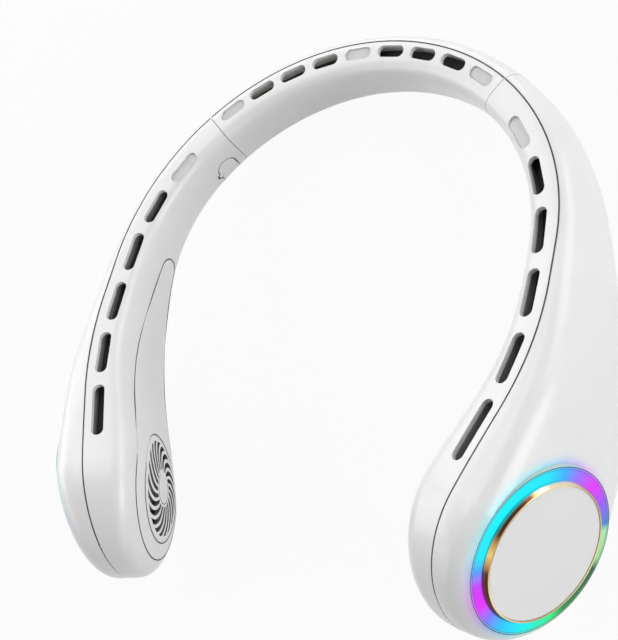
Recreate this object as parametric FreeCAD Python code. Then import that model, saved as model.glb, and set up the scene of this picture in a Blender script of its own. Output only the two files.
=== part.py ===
import FreeCAD, Part
import math
import os
from FreeCAD import Matrix, Vector

os.makedirs("parts", exist_ok=True)

# Driving dimensions, in millimetres and degrees.
# Middle line of the band, seen from the slot side
ARCH_RADIUS = 81.0
ARM_RUN = 14.0
ARM_BEND_RADIUS = 110.0
ARM_BEND_ANGLE = 20.5
ARM_TAIL = 26.4
NAPE_HALF_ANGLE = 44.4
BAND_ROLL = 14.0

# Band section: reach from the middle line to each face, depth and corner shape
NAPE_INNER = 7.5
NAPE_OUTER = 9.2
NAPE_DEPTH = 23.5
POD_INNER = 11.6
POD_OUTER = 19.5
POD_RADIUS = 31.5
POD_RISE = 3.5
POD_LEAN = 6.5
POD_ROLL = 6.0
INNER_POWER = 3.2
NAPE_OUTER_POWER = 3.2
POD_OUTER_POWER = 4.6
DEPTH_EASE = 1.5
OUTER_EASE = 1.7
INNER_EASE = 2.3
ARM_SECTIONS = 11
SECTION_SPREAD = 1.4
HALF_SECTION_STEPS = 16

# Shells, seams and general clearances
WALL = 1.8
SEAM_OUT = 5.0
SEAM_GAP = 0.25
PANEL_MARGIN = 9.0
PANEL_POD_MARGIN = 6.0
PANEL_DROP = 4.0
PANEL_DEPTH = 6.0
PANEL_START = 60.0
OVERRUN = 2.0
FIT = 0.05
MOVE_GAP = 0.3
JOIN_TOLERANCE = 0.002
SEAT_GAP = 0.25

# Air slots in the rim
SLOT_WIDTH = 4.4
BLIND_DEPTH = 0.9
NAPE_SLOTS = 9
NAPE_SLOT_LENGTH = 10.8
NAPE_SLOT_PITCH = 13.6
NAPE_SLOT_OUT = 1.0
NAPE_BLIND = (0, 4, 8)
ARM_SLOT_OUT_FIRST = -2.1
ARM_SLOT_OUT_LAST = 0.0
ARM_SLOT_START = 14.0
ARM_SLOT_RUN = 122.4
ARM_SLOT_GAP = 5.2
ARM_SLOT_LENGTH_SHARES = (0.141, 0.148, 0.165, 0.165, 0.172, 0.209)
ARM_BLIND = (0,)

# Arm hinges at the nape seams
PIVOT_INSET = 4.8
HINGE_OPEN = 10.0
HINGE_SPARE = 1.0
KNUCKLE_RADIUS = 1.9
KNUCKLE_SPAN = 12.8
NAPE_KNUCKLE = 4.0
HINGE_PIN_RADIUS = 0.9
PIN_RUNNING = 0.04
BRACKET_NEAR = 2.4
BRACKET_FAR = 5.2
BRACKET_IN = 0.5

# Intake grille
GRILLE_RADIUS = 19.5
GRILLE_VANES = 20
GRILLE_HUB_RADIUS = 6.9
GRILLE_RIM = 2.2
MEDAL_RADIUS = 5.6
MEDAL_GROOVE = 0.35
MEDAL_DEPTH = 0.4
VANE_SWEEP = 34.0
VANE_SLOT_SHARE = 0.58
VANE_BOW_SHARE = 0.36

# Light ring, trim and end cap
LIGHT_RADIUS = 26.1
LIGHT_WIDTH = 4.0
LIGHT_DEPTH = 4.6
LIGHT_THICKNESS = 2.4
LIGHT_SKIRT = 0.9
TRIM_WIDTH = 1.3
TRIM_PROUD = 1.8
TRIM_LIP = 0.5
TRIM_STEP = 0.4
CAP_PROUD = 1.5
CAP_WALL = 1.6
LIGHT_BOARD = 1.0
LIGHT_BOARD_WIDTH = 8.0
CHIPS = 18
CHIP_SIZE = 2.2
CHIP_HEIGHT = 0.8

# Fan and motor
POST_HEIGHT = 4.2
POST_RADIUS = 2.4
POST_CIRCLE = 20.0
POSTS = 3
MOTOR_PLATE = 1.6
SCROLL_RADIUS = 24.8
SCROLL_WALL = 1.2
SCROLL_MOUTH = 70.0
SCROLL_INSET = 2.2
ROTOR_BACK_GAP = 1.5
ROTOR_RADIUS = 21.5
ROTOR_PLATE = 1.2
BLADE_HEIGHT = 6.2
BLADE_INNER = 15.0
BLADE_THICKNESS = 0.8
BLADE_LEAN = 16.0
BLADES = 22
ROTOR_RIM = 1.7
ROTOR_RIM_HEIGHT = 0.8
HUB_RADIUS = 11.5
HUB_WALL = 1.1
HUB_TOP = 1.4
HUB_RISE = 0.9
HUB_BOSS_RADIUS = 3.0
HUB_BOSS = 0.9
MAGNET_WALL = 1.3
MAGNET_LENGTH = 6.5
STATOR_RADIUS = 8.6
STATOR_LENGTH = 5.0
STATOR_YOKE = 1.5
STATOR_SHOE = 0.9
STATOR_TEETH = 6
TOOTH_WIDTH = 1.6
COIL_WIDTH = 0.8
SHOE_ANGLE = 44.0
BEARING_TUBE = 3.3
BEARING_RADIUS = 2.6
SHAFT_RADIUS = 1.5
SCREW_RADIUS = 0.8
SCREW_HEAD_RADIUS = 1.5
SCREW_HEAD = 0.9
SCREW_SLOT = 0.8
SCREW_SLOT_DEPTH = 0.45
SCREW_BITE = 2.6

# Battery cell and its ribs
BATTERY_PLACE = 94.0
BATTERY_LENGTH = 34.0
BATTERY_HEIGHT = 16.0
BATTERY_THICKNESS = 8.0
BATTERY_BELOW_RIM = 13.0
BATTERY_IN = 1.0
BATTERY_CORNER = 1.5
RIB_SPACING = 20.0
RIB_WIDTH = 1.6

# Charging port, control board and button, near the nape seam
PORT_PLACE = 8.4
BOARD_OUT = 1.0
BOARD_THICKNESS = 1.0
BOARD_WIDTH = 5.4
BOARD_HEIGHT = 13.0
BOARD_POST_RADIUS = 1.4
BOARD_POST_SPACING = 9.0
FLAP_WIDTH = 8.0
FLAP_TIP = 2.0
FLAP_BOTTOM = -8.4
FLAP_NUB_RADIUS = 1.2
FLAP_NUB_DROP = 5.5
FLAP_GAP = 0.3
FLAP_BARREL = 0.95
FLAP_PIN_RADIUS = 0.45
FLAP_PIN_BITE = 1.4
SOCKET_HEIGHT = 9.0
SOCKET_WIDTH = 3.3
SOCKET_WALL = 0.35
SOCKET_DEPTH = 5.6
SOCKET_POCKET = 4.6
SOCKET_TONGUE = 0.7
BUTTON_RADIUS = 3.4
BUTTON_DROP = 2.0
BUTTON_TRAVEL = 0.8
BUTTON_FLANGE = 0.7
BUTTON_FLANGE_RADIUS = 4.2
BUTTON_STEM_RADIUS = 1.2
SWITCH_SIZE = 4.0
SWITCH_HEIGHT = 1.7

# Search for the resting pose
REST_SAMPLES = 60
REST_ROUNDS = 40
STEEPEST_REST = 45.0

# Worked out from the values above
ARCH_LENGTH = ARCH_RADIUS * math.pi / 2
BEND_LENGTH = ARM_BEND_RADIUS * math.radians(ARM_BEND_ANGLE)
BEND_END = ARCH_LENGTH + ARM_RUN + BEND_LENGTH
POD_S = BEND_END + ARM_TAIL
HINGE_S = ARCH_RADIUS * math.radians(NAPE_HALF_ANGLE)
GAP_ANGLE = math.degrees(SEAM_GAP / 2 / ARCH_RADIUS)
OVERRUN_ANGLE = math.degrees(OVERRUN / ARCH_RADIUS)
PIVOT_OUT = NAPE_OUTER - PIVOT_INSET
REACH = POD_RADIUS + POD_OUTER
N_AXIS = Vector(1, 0, 0)
U_AXIS = Vector(0, 1, 0)
T_AXIS = Vector(0, 0, 1)
CENTRE = Vector(0, 0, 0)
UP = Vector(0, 0, 1)


def mix(low, high, share):
    return low + (high - low) * share


def ease(share, power):
    lean = share ** power
    return lean * lean * (3 - 2 * lean)


def plan(s):
    # Point and outward direction of the middle line at arc length s from the nape's middle
    if s <= ARCH_LENGTH:
        angle = math.pi / 2 - s / ARCH_RADIUS
        out = Vector(math.cos(angle), math.sin(angle), 0)
        return out * ARCH_RADIUS, out
    bend = s - ARCH_LENGTH - ARM_RUN
    if bend <= 0:
        return Vector(ARCH_RADIUS, ARCH_LENGTH - s, 0), Vector(1, 0, 0)
    turn = -min(bend, BEND_LENGTH) / ARM_BEND_RADIUS
    out = Vector(math.cos(turn), math.sin(turn), 0)
    bend_centre = Vector(ARCH_RADIUS - ARM_BEND_RADIUS, -ARM_RUN, 0)
    along = Vector(out.y, -out.x, 0)
    return bend_centre + out * ARM_BEND_RADIUS + along * max(s - BEND_END, 0), out


class Station:
    # Local axes of the band at arc length s: n outward, u towards the rim, t away from the nape.
    # The pod narrows to its round end: its outer side (lean 1) and inner side (lean -1) turn
    # opposite ways about the outer seam, and the inner side also rolls towards the rim.
    def __init__(self, s, lean=0):
        point, out = plan(s)
        share = max(s - HINGE_S, 0) / (POD_S - HINGE_S)
        roll = math.radians(BAND_ROLL)
        turn = math.radians(lean * POD_LEAN * ease(share, INNER_EASE))
        inner_roll = math.radians(max(-lean, 0) * POD_ROLL * ease(share, INNER_EASE))
        across = out * math.cos(roll) + UP * math.sin(roll)
        along = Vector(out.y, -out.x, 0)
        up = UP * math.cos(roll) - out * math.sin(roll)
        outward = across * math.cos(turn) + along * math.sin(turn)
        self.n = outward * math.cos(inner_roll) + up * math.sin(inner_roll)
        self.u = up * math.cos(inner_roll) - outward * math.sin(inner_roll)
        self.t = along * math.cos(turn) - across * math.sin(turn)
        self.inner = mix(NAPE_INNER, POD_INNER, ease(share, INNER_EASE))
        self.outer = mix(NAPE_OUTER, POD_OUTER, ease(share, OUTER_EASE))
        self.half = mix(NAPE_DEPTH / 2, POD_RADIUS, ease(share, DEPTH_EASE))
        self.power = mix(NAPE_OUTER_POWER, POD_OUTER_POWER, ease(share, OUTER_EASE))
        rise = POD_RISE * ease(share, INNER_EASE)
        self.origin = point + up * (rise - self.half) + (across - self.n) * SEAM_OUT

    def at(self, n, u, t=0):
        return self.origin + self.n * n + self.u * u + self.t * t

    def place(self, shape):
        n, u, t, o = self.n, self.u, self.t, self.origin
        frame = Matrix(n.x, u.x, t.x, o.x, n.y, u.y, t.y, o.y, n.z, u.z, t.z, o.z, 0, 0, 0, 1)
        return shape.transformed(frame)

    def side(self, n):
        return (self.outer, self.power) if n >= 0 else (self.inner, INNER_POWER)

    def rim(self, n):
        # Height of the rim surface over the section's centre
        reach, power = self.side(n)
        return self.half * (1 - (abs(n) / reach) ** power) ** (1 / power)

    def face(self, u, sign, inset=0):
        # Reach of the outer (sign 1) or inner (sign -1) face at height u, or of the same face inset
        reach, power = self.side(sign)
        return sign * (reach - inset) * (1 - (abs(u) / (self.half - inset)) ** power) ** (1 / power)

    def half_points(self, inset, sign):
        # Local points of the upper or lower half section, from the outer to the inner face
        points = []
        for i in range(HALF_SECTION_STEPS + 1):
            angle = math.pi * i / HALF_SECTION_STEPS
            reach, power = self.side(math.cos(angle))
            n = math.copysign(abs(math.cos(angle)) ** (2 / power), math.cos(angle)) * (reach - inset)
            u = sign * (self.half - inset) * abs(math.sin(angle)) ** (2 / power)
            points.append((n, u))
        return points

    def half_edge(self, inset, sign):
        curve = Part.BSplineCurve()
        points = [self.at(n, u) for n, u in self.half_points(inset, sign)]
        curve.interpolate(points, InitialTangent=self.u * sign, FinalTangent=self.u * -sign)
        return curve.toShape()

    def section(self, inset):
        return Part.Wire([self.half_edge(inset, 1), self.half_edge(inset, -1)])

    def box_wire(self, n_low, n_high, u_low, u_high):
        corners = [(n_low, u_low), (n_high, u_low), (n_high, u_high), (n_low, u_high), (n_low, u_low)]
        return Part.makePolygon([self.at(n, u) for n, u in corners])


POD = Station(POD_S)
POD_OUT = Station(POD_S, 1)
POD_IN = Station(POD_S, -1)
HINGE = Station(HINGE_S)
PORT = Station(HINGE_S + PORT_PLACE)


def arm_stations(start, lean=0):
    # Sections lie closer together near the nape, where the arm follows the arch
    shares = [(i / ARM_SECTIONS) ** SECTION_SPREAD for i in range(ARM_SECTIONS + 1)]
    return [Station(mix(start, POD_S, share), lean) for share in shares]


def arm_envelope(inset, start, lean):
    # Lofted arm down to the pod's centre, then the pod's round end turned about its axis
    stations = arm_stations(start, lean)
    loft = Part.makeLoft([station.section(inset) for station in stations], True)
    pod = stations[-1]
    axis = Part.LineSegment(pod.at(inset - pod.inner, 0), pod.at(pod.outer - inset, 0)).toShape()
    profile = Part.Face(Part.Wire([pod.half_edge(inset, 1), axis]))
    return loft.fuse([profile.revolve(pod.origin, pod.n, 180)], JOIN_TOLERANCE)


def turned(profile, half_angle):
    # Solid turned about the arch's centre, the same angle to both sides of the nape's middle
    face = Part.Face(profile)
    face.rotate(CENTRE, UP, -half_angle)
    return face.revolve(CENTRE, UP, 2 * half_angle)


def local_box(n_low, n_high, u_low, u_high, t_low, t_high):
    corner = Vector(n_low, u_low, t_low)
    return Part.makeBox(n_high - n_low, u_high - u_low, t_high - t_low, corner)


def outside_block(gap):
    # Everything outward of the outer seam on one arm
    def wire(station):
        reach = station.half + OVERRUN
        return station.box_wire(SEAM_OUT + gap, REACH, -reach, reach)
    loft = Part.makeLoft([wire(station) for station in arm_stations(HINGE_S - OVERRUN)], True)
    reach = POD.half + OVERRUN
    end = local_box(SEAM_OUT + gap, REACH, -reach, reach, 0, reach)
    return loft.fuse(POD.place(end))


def panel_block(gap):
    # The inner cover's stretch of the inner face, rounded at its upper end and round the pod
    def grown(station):
        return (station.half - stations[0].half) / (POD.half - stations[0].half)

    def width(station):
        return station.half - mix(PANEL_MARGIN, PANEL_POD_MARGIN, grown(station)) + gap

    def middle(station):
        return -PANEL_DROP * (1 - grown(station))

    def disc(station):
        depth = PANEL_DEPTH + OVERRUN
        base = Vector(-station.inner - OVERRUN, middle(station), 0)
        return station.place(Part.makeCylinder(width(station), depth, base, N_AXIS))

    def wire(station):
        low = -station.inner - OVERRUN
        high = low + PANEL_DEPTH + OVERRUN
        wide = width(station)
        return station.box_wire(low, high, middle(station) - wide, middle(station) + wide)
    stations = arm_stations(HINGE_S + PANEL_START, -1)
    loft = Part.makeLoft([wire(station) for station in stations], True)
    return loft.fuse([disc(stations[0]), disc(POD_IN)])


def relief(sign):
    # Wedge that frees the seam's outer edge when the arm swings out
    length = PIVOT_INSET + OVERRUN
    open_width = length * math.tan(math.radians((HINGE_OPEN + HINGE_SPARE) / 2))
    height = NAPE_DEPTH + OVERRUN
    far = PIVOT_OUT + length
    points = [(PIVOT_OUT, 0), (far, 0), (far, sign * open_width), (PIVOT_OUT, 0)]
    face = Part.Face(Part.makePolygon([Vector(n, -height / 2, t) for n, t in points]))
    return HINGE.place(face.extrude(U_AXIS * height))


def obround(length, width):
    # Face in the local n-t plane, long along t
    r = width / 2
    h = length / 2 - r
    a, b, c, d = Vector(r, 0, -h), Vector(r, 0, h), Vector(-r, 0, h), Vector(-r, 0, -h)
    edges = [
        Part.LineSegment(a, b).toShape(),
        Part.Arc(b, Vector(0, 0, h + r), c).toShape(),
        Part.LineSegment(c, d).toShape(),
        Part.Arc(d, Vector(0, 0, -h - r), a).toShape(),
    ]
    return Part.Face(Part.Wire(edges))


def air_slot(s, out, length, blind):
    station = Station(s)
    depth = BLIND_DEPTH if blind else WALL + OVERRUN
    face = obround(length, SLOT_WIDTH)
    face.translate(Vector(out, station.rim(out) - depth, 0))
    return station.place(face.extrude(U_AXIS * (depth + OVERRUN)))


def nape_slots():
    middle = (NAPE_SLOTS - 1) / 2
    return [
        air_slot((i - middle) * NAPE_SLOT_PITCH, NAPE_SLOT_OUT, NAPE_SLOT_LENGTH, i in NAPE_BLIND)
        for i in range(NAPE_SLOTS)
    ]


def arm_slots():
    metal = ARM_SLOT_RUN - ARM_SLOT_GAP * (len(ARM_SLOT_LENGTH_SHARES) - 1)
    slots = []
    start = HINGE_S + ARM_SLOT_START
    for i, share in enumerate(ARM_SLOT_LENGTH_SHARES):
        length = metal * share
        out = mix(ARM_SLOT_OUT_FIRST, ARM_SLOT_OUT_LAST, i / (len(ARM_SLOT_LENGTH_SHARES) - 1))
        slots.append(air_slot(start + length / 2, out, length, i in ARM_BLIND))
        start += length + ARM_SLOT_GAP
    return slots


def nape_shells():
    middle = Station(0)
    angle = NAPE_HALF_ANGLE - GAP_ANGLE
    body = turned(middle.section(0), angle)
    body = body.cut(turned(middle.section(WALL), angle + OVERRUN_ANGLE))
    wedge = relief(-1)
    body = body.cut([wedge, mirrored(wedge)])
    reach = middle.half + OVERRUN

    def outside(gap):
        wire = middle.box_wire(SEAM_OUT + gap, middle.outer + OVERRUN, -reach, reach)
        return turned(wire, angle + OVERRUN_ANGLE)
    frame = body.cut(outside(-SEAM_GAP / 2)).cut(nape_slots())
    return frame, body.common(outside(SEAM_GAP / 2))


def arm_shell(lean):
    outer = arm_envelope(0, HINGE_S + SEAM_GAP / 2, lean)
    return outer, outer.cut(arm_envelope(WALL, HINGE_S - OVERRUN, lean)).cut(relief(1))


def arm_shells():
    outer, body = arm_shell(1)
    cover = body.common(outside_block(SEAM_GAP / 2))
    rest = arm_shell(-1)[1].cut(outside_block(-SEAM_GAP / 2))
    panel = rest.common(panel_block(-SEAM_GAP / 2))
    frame = rest.cut(panel_block(SEAM_GAP / 2)).cut(arm_slots())
    return outer, frame, cover, panel


def mirrored(shape):
    return shape.mirror(CENTRE, N_AXIS)


def rod(radius, start, end):
    return Part.makeCylinder(radius, end - start, Vector(start, 0, 0), N_AXIS)


def tube(outer, inner, start, end):
    return rod(outer, start, end).cut(rod(inner, start, end))


def around(shape, count, phase=0):
    copies = []
    for i in range(count):
        copy = shape.copy()
        copy.rotate(CENTRE, N_AXIS, phase + 360 * i / count)
        copies.append(copy)
    return copies


def polar(radius, angle, n=0):
    turn = math.radians(angle)
    return Vector(n, radius * math.cos(turn), radius * math.sin(turn))


def swept_outline(r_low, r_high, sweep, low_width, high_width, n):
    # Curved sector from one radius to another, its sides bowed by half the sweep's lean
    def edge(first, last, middle):
        return Part.Arc(polar(*first, n), polar(*middle, n), polar(*last, n)).toShape()
    middle = (r_low + r_high) / 2
    bow = sweep * VANE_BOW_SHARE
    mean = (low_width + high_width) / 2
    a, b = (r_low, 0), (r_high, sweep)
    c, d = (r_high, sweep + high_width), (r_low, low_width)
    edges = [
        edge(a, b, (middle, bow)),
        edge(b, c, (r_high, sweep + high_width / 2)),
        edge(c, d, (middle, bow + mean)),
        edge(d, a, (r_low, low_width / 2)),
    ]
    return Part.Face(Part.Wire(edges))


# Chain of places along the pod axis
LIGHT_TOP = POD.face(LIGHT_RADIUS, 1)
FLOOR_TOP = LIGHT_TOP - LIGHT_DEPTH
FLOOR_LOW = FLOOR_TOP - WALL
PLATE_TOP = FLOOR_LOW - POST_HEIGHT
PLATE_LOW = PLATE_TOP - MOTOR_PLATE
ROTOR_BACK = PLATE_LOW - ROTOR_BACK_GAP
BLADE_BACK = ROTOR_BACK - ROTOR_PLATE
BLADE_FRONT = BLADE_BACK - BLADE_HEIGHT
HUB_FRONT = BLADE_FRONT - HUB_RISE
HUB_FLOOR = HUB_FRONT + HUB_TOP
BOSS_END = HUB_FLOOR + HUB_BOSS
TUBE_FRONT = BOSS_END + MOVE_GAP
CAP_RADIUS = LIGHT_RADIUS - LIGHT_WIDTH - TRIM_WIDTH - 2 * FIT
BOARD_TOP = FLOOR_TOP + LIGHT_BOARD
MAGNET_RADIUS = HUB_RADIUS - HUB_WALL - FIT


def cover_with_seat(cover, outer):
    # Floor and pocket for the light ring, posts for the motor plate, ribs and board posts
    floor = POD_OUT.place(rod(POD.half, FLOOR_LOW, FLOOR_TOP)).common(outer)
    post = rod(POST_RADIUS, PLATE_TOP, FLOOR_TOP + OVERRUN)
    post.translate(U_AXIS * POST_CIRCLE)
    below = POD_OUT.place(rod(POD.half, -REACH, FLOOR_TOP))
    added = [floor]
    added += [POD.place(copy).common(below) for copy in around(post, POSTS)]
    added += [rib.common(outer) for rib in battery_ribs() + board_posts()]
    pocket = rod(LIGHT_RADIUS + FIT, FLOOR_TOP, POD.outer + OVERRUN)
    pilot = rod(SCREW_RADIUS + FIT, PLATE_TOP, PLATE_TOP + SCREW_BITE + FIT)
    pilot.translate(U_AXIS * POST_CIRCLE)
    pilots = [POD.place(copy) for copy in around(pilot, POSTS)]
    return cover.fuse(added).cut([POD_OUT.place(pocket)] + pilots)


def light_ring():
    low = LIGHT_TOP - LIGHT_THICKNESS
    ring = tube(LIGHT_RADIUS, LIGHT_RADIUS - LIGHT_WIDTH, low, LIGHT_TOP)
    return ring.fuse(tube(LIGHT_RADIUS, LIGHT_RADIUS - LIGHT_SKIRT, BOARD_TOP, low))


def trim_ring():
    # Ring with a sloping outer edge and a narrow lip round the end cap
    inner = CAP_RADIUS + FIT
    outer = inner + TRIM_WIDTH
    top = LIGHT_TOP + TRIM_PROUD
    corners = [
        (inner, BOARD_TOP),
        (outer, BOARD_TOP),
        (outer, LIGHT_TOP + TRIM_STEP),
        (inner + TRIM_LIP, top),
        (inner, top),
        (inner, BOARD_TOP),
    ]
    face = Part.Face(Part.makePolygon([Vector(n, r, 0) for r, n in corners]))
    return face.revolve(CENTRE, N_AXIS, 360)


def end_cap():
    top = LIGHT_TOP + CAP_PROUD
    return rod(CAP_RADIUS, BOARD_TOP, top).cut(rod(CAP_RADIUS - CAP_WALL, BOARD_TOP, top - CAP_WALL))


def light_board():
    board = tube(LIGHT_RADIUS, LIGHT_RADIUS - LIGHT_BOARD_WIDTH, FLOOR_TOP, BOARD_TOP)
    middle = LIGHT_RADIUS - (LIGHT_WIDTH + LIGHT_SKIRT) / 2
    half = CHIP_SIZE / 2
    chip = local_box(BOARD_TOP, BOARD_TOP + CHIP_HEIGHT, middle - half, middle + half, -half, half)
    return board.fuse(around(chip, CHIPS))


def fan_housing():
    plate = rod(SCROLL_RADIUS, PLATE_LOW, PLATE_TOP)
    front = BLADE_FRONT + SCROLL_INSET
    scroll = tube(SCROLL_RADIUS, SCROLL_RADIUS - SCROLL_WALL, front, PLATE_LOW)
    height = SCROLL_RADIUS * math.sin(math.radians(SCROLL_MOUTH / 2))
    scroll = scroll.cut(local_box(front, PLATE_LOW, -height, height, -SCROLL_RADIUS, 0))
    stem = rod(BEARING_TUBE, TUBE_FRONT, PLATE_LOW)
    hole = rod(SCREW_RADIUS + FIT, PLATE_LOW, PLATE_TOP).fuse(
        rod(SCREW_HEAD_RADIUS + FIT, PLATE_LOW, PLATE_LOW + SCREW_HEAD))
    hole.translate(U_AXIS * POST_CIRCLE)
    bore = rod(BEARING_RADIUS + FIT, TUBE_FRONT, PLATE_LOW)
    return plate.fuse([scroll, stem]).cut(around(hole, POSTS) + [bore])


def plate_screws():
    head = rod(SCREW_HEAD_RADIUS, PLATE_LOW, PLATE_LOW + SCREW_HEAD)
    screw = head.fuse(rod(SCREW_RADIUS, PLATE_LOW + SCREW_HEAD, PLATE_TOP + SCREW_BITE))
    slot = local_box(PLATE_LOW, PLATE_LOW + SCREW_SLOT_DEPTH, -SCREW_HEAD_RADIUS, SCREW_HEAD_RADIUS,
                     -SCREW_SLOT / 2, SCREW_SLOT / 2)
    screw = screw.cut(slot)
    screw.translate(U_AXIS * POST_CIRCLE)
    return Part.makeCompound(around(screw, POSTS))


def bearing():
    return tube(BEARING_RADIUS, SHAFT_RADIUS + PIN_RUNNING, TUBE_FRONT, PLATE_LOW)


def shaft():
    return rod(SHAFT_RADIUS, HUB_FRONT, PLATE_LOW - FIT)


def impeller():
    hub = rod(HUB_RADIUS, HUB_FRONT, ROTOR_BACK).cut(rod(HUB_RADIUS - HUB_WALL, HUB_FLOOR, ROTOR_BACK))
    boss = rod(HUB_BOSS_RADIUS, HUB_FLOOR, BOSS_END)
    plate = tube(ROTOR_RADIUS, HUB_RADIUS, BLADE_BACK, ROTOR_BACK)
    rim = tube(ROTOR_RADIUS, ROTOR_RADIUS - ROTOR_RIM, BLADE_FRONT, BLADE_FRONT + ROTOR_RIM_HEIGHT)
    width_in = math.degrees(BLADE_THICKNESS / BLADE_INNER)
    width_out = math.degrees(BLADE_THICKNESS / ROTOR_RADIUS)
    outline = swept_outline(BLADE_INNER, ROTOR_RADIUS, BLADE_LEAN, width_in, width_out, BLADE_FRONT)
    blade = outline.extrude(N_AXIS * BLADE_HEIGHT)
    rotor = hub.fuse([boss, plate, rim] + around(blade, BLADES))
    return rotor.cut(rod(SHAFT_RADIUS, HUB_FRONT, BOSS_END))


def magnet_ring():
    start = ROTOR_BACK - MAGNET_LENGTH
    return tube(MAGNET_RADIUS, MAGNET_RADIUS - MAGNET_WALL, start, ROTOR_BACK)


def stator_places():
    middle = ROTOR_BACK - MAGNET_LENGTH / 2
    return middle - STATOR_LENGTH / 2, middle + STATOR_LENGTH / 2


def stator():
    low, high = stator_places()
    bore = BEARING_TUBE + FIT
    tooth = local_box(low, high, bore, STATOR_RADIUS - STATOR_SHOE / 2, -TOOTH_WIDTH / 2, TOOTH_WIDTH / 2)
    half = SHOE_ANGLE / 2
    inner = STATOR_RADIUS - STATOR_SHOE
    outline = [
        Part.Arc(polar(STATOR_RADIUS, -half, low), polar(STATOR_RADIUS, 0, low),
                 polar(STATOR_RADIUS, half, low)).toShape(),
        Part.LineSegment(polar(STATOR_RADIUS, half, low), polar(inner, half, low)).toShape(),
        Part.Arc(polar(inner, half, low), polar(inner, 0, low), polar(inner, -half, low)).toShape(),
        Part.LineSegment(polar(inner, -half, low), polar(STATOR_RADIUS, -half, low)).toShape(),
    ]
    shoe = Part.Face(Part.Wire(outline)).extrude(N_AXIS * (high - low))
    yoke = tube(bore + STATOR_YOKE, bore, low, high)
    return yoke.fuse(around(tooth.fuse(shoe), STATOR_TEETH)).cut(rod(bore, low, high))


def coils():
    low, high = stator_places()
    inner = BEARING_TUBE + STATOR_YOKE + COIL_WIDTH
    outer = STATOR_RADIUS - STATOR_SHOE - COIL_WIDTH / 2
    half = TOOTH_WIDTH / 2 + FIT
    wide = half + COIL_WIDTH
    coil = local_box(low - COIL_WIDTH, high + COIL_WIDTH, inner, outer, -wide, wide)
    coil = coil.cut(local_box(low - FIT, high + FIT, inner, outer, -half, half))
    return Part.makeCompound(around(coil, STATOR_TEETH))


def grille(panel):
    body = panel.common(POD_IN.place(rod(GRILLE_RADIUS, -POD.inner - OVERRUN, 0)))
    pitch = 360 / GRILLE_VANES
    width = pitch * VANE_SLOT_SHARE
    low = -POD.inner - OVERRUN
    outline = swept_outline(GRILLE_HUB_RADIUS, GRILLE_RADIUS - GRILLE_RIM, -VANE_SWEEP, width, width, low)
    slot = outline.extrude(N_AXIS * POD.inner)
    groove = tube(MEDAL_RADIUS + MEDAL_GROOVE, MEDAL_RADIUS, low, MEDAL_DEPTH - POD.inner)
    return body.cut([POD_IN.place(copy) for copy in around(slot, GRILLE_VANES) + [groove]])


def battery_station():
    return Station(HINGE_S + BATTERY_PLACE)


def battery_box(station):
    top = station.half - BATTERY_BELOW_RIM
    half = BATTERY_LENGTH / 2
    return local_box(-BATTERY_IN, BATTERY_THICKNESS - BATTERY_IN, top - BATTERY_HEIGHT, top, -half, half)


def battery():
    station = battery_station()
    box = battery_box(station)
    long_edges = [edge for edge in box.Edges if abs(edge.tangentAt(0).z) > abs(edge.tangentAt(0).x)
                  and abs(edge.tangentAt(0).z) > abs(edge.tangentAt(0).y)]
    return station.place(box.makeFillet(BATTERY_CORNER, long_edges))


def battery_ribs():
    station = battery_station()
    top = station.half - BATTERY_BELOW_RIM
    start = BATTERY_THICKNESS - BATTERY_IN + SEAT_GAP
    ribs = []
    for sign in (-1, 1):
        middle = sign * RIB_SPACING / 2
        rib = local_box(start, station.outer, top - BATTERY_HEIGHT, top,
                        middle - RIB_WIDTH / 2, middle + RIB_WIDTH / 2)
        ribs.append(station.place(rib))
    return ribs


def board_posts():
    start = BOARD_OUT + BOARD_THICKNESS
    posts = []
    for sign in (-1, 1):
        base = Vector(start, sign * BOARD_POST_SPACING / 2, 0)
        post = Part.makeCylinder(BOARD_POST_RADIUS, PORT.outer - start, base, N_AXIS)
        posts.append(PORT.place(post))
    return posts


def board():
    half = BOARD_HEIGHT / 2
    return local_box(BOARD_OUT, BOARD_OUT + BOARD_THICKNESS, -half, half, -BOARD_WIDTH / 2, BOARD_WIDTH / 2)


def flap_middle():
    return (FLAP_TIP + FLAP_BOTTOM) / 2


def socket():
    half_u = SOCKET_HEIGHT / 2
    half_t = SOCKET_WIDTH / 2
    mouth = BOARD_OUT - SOCKET_DEPTH
    body = local_box(mouth, BOARD_OUT, -half_u, half_u, -half_t, half_t)
    inside_u = half_u - SOCKET_WALL
    inside_t = half_t - SOCKET_WALL
    body = body.cut(local_box(mouth, mouth + SOCKET_POCKET, -inside_u, inside_u, -inside_t, inside_t))
    tongue_u = inside_u - SOCKET_TONGUE
    tongue_t = SOCKET_TONGUE / 2
    body = body.fuse(local_box(mouth + SOCKET_TONGUE, BOARD_OUT, -tongue_u, tongue_u, -tongue_t, tongue_t))
    body.translate(U_AXIS * flap_middle())
    return PORT.place(body)


def flap_prism(grow):
    # Tongue outline with a round tip and a finger nub, cut square at the pivot end
    half = FLAP_WIDTH / 2 + grow
    low = -PORT.inner - OVERRUN
    depth = OVERRUN + WALL + OVERRUN
    centre = FLAP_TIP - FLAP_WIDTH / 2
    tip = Part.makeCylinder(half, depth, Vector(low, centre, 0), N_AXIS)
    nub_place = Vector(low, FLAP_TIP - FLAP_NUB_DROP, half)
    nub = Part.makeCylinder(FLAP_NUB_RADIUS + grow, depth, nub_place, N_AXIS)
    body = local_box(low, low + depth, FLAP_BOTTOM, centre, -half, half)
    return body.fuse([tip, nub])


def flap_pivot():
    return Vector(PORT.face(FLAP_BOTTOM, -1) + FLAP_BARREL, FLAP_BOTTOM, 0)


def flap_barrel(radius, grow):
    length = FLAP_WIDTH + 2 * grow
    return Part.makeCylinder(radius, length, flap_pivot() - T_AXIS * (length / 2), T_AXIS)


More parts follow.
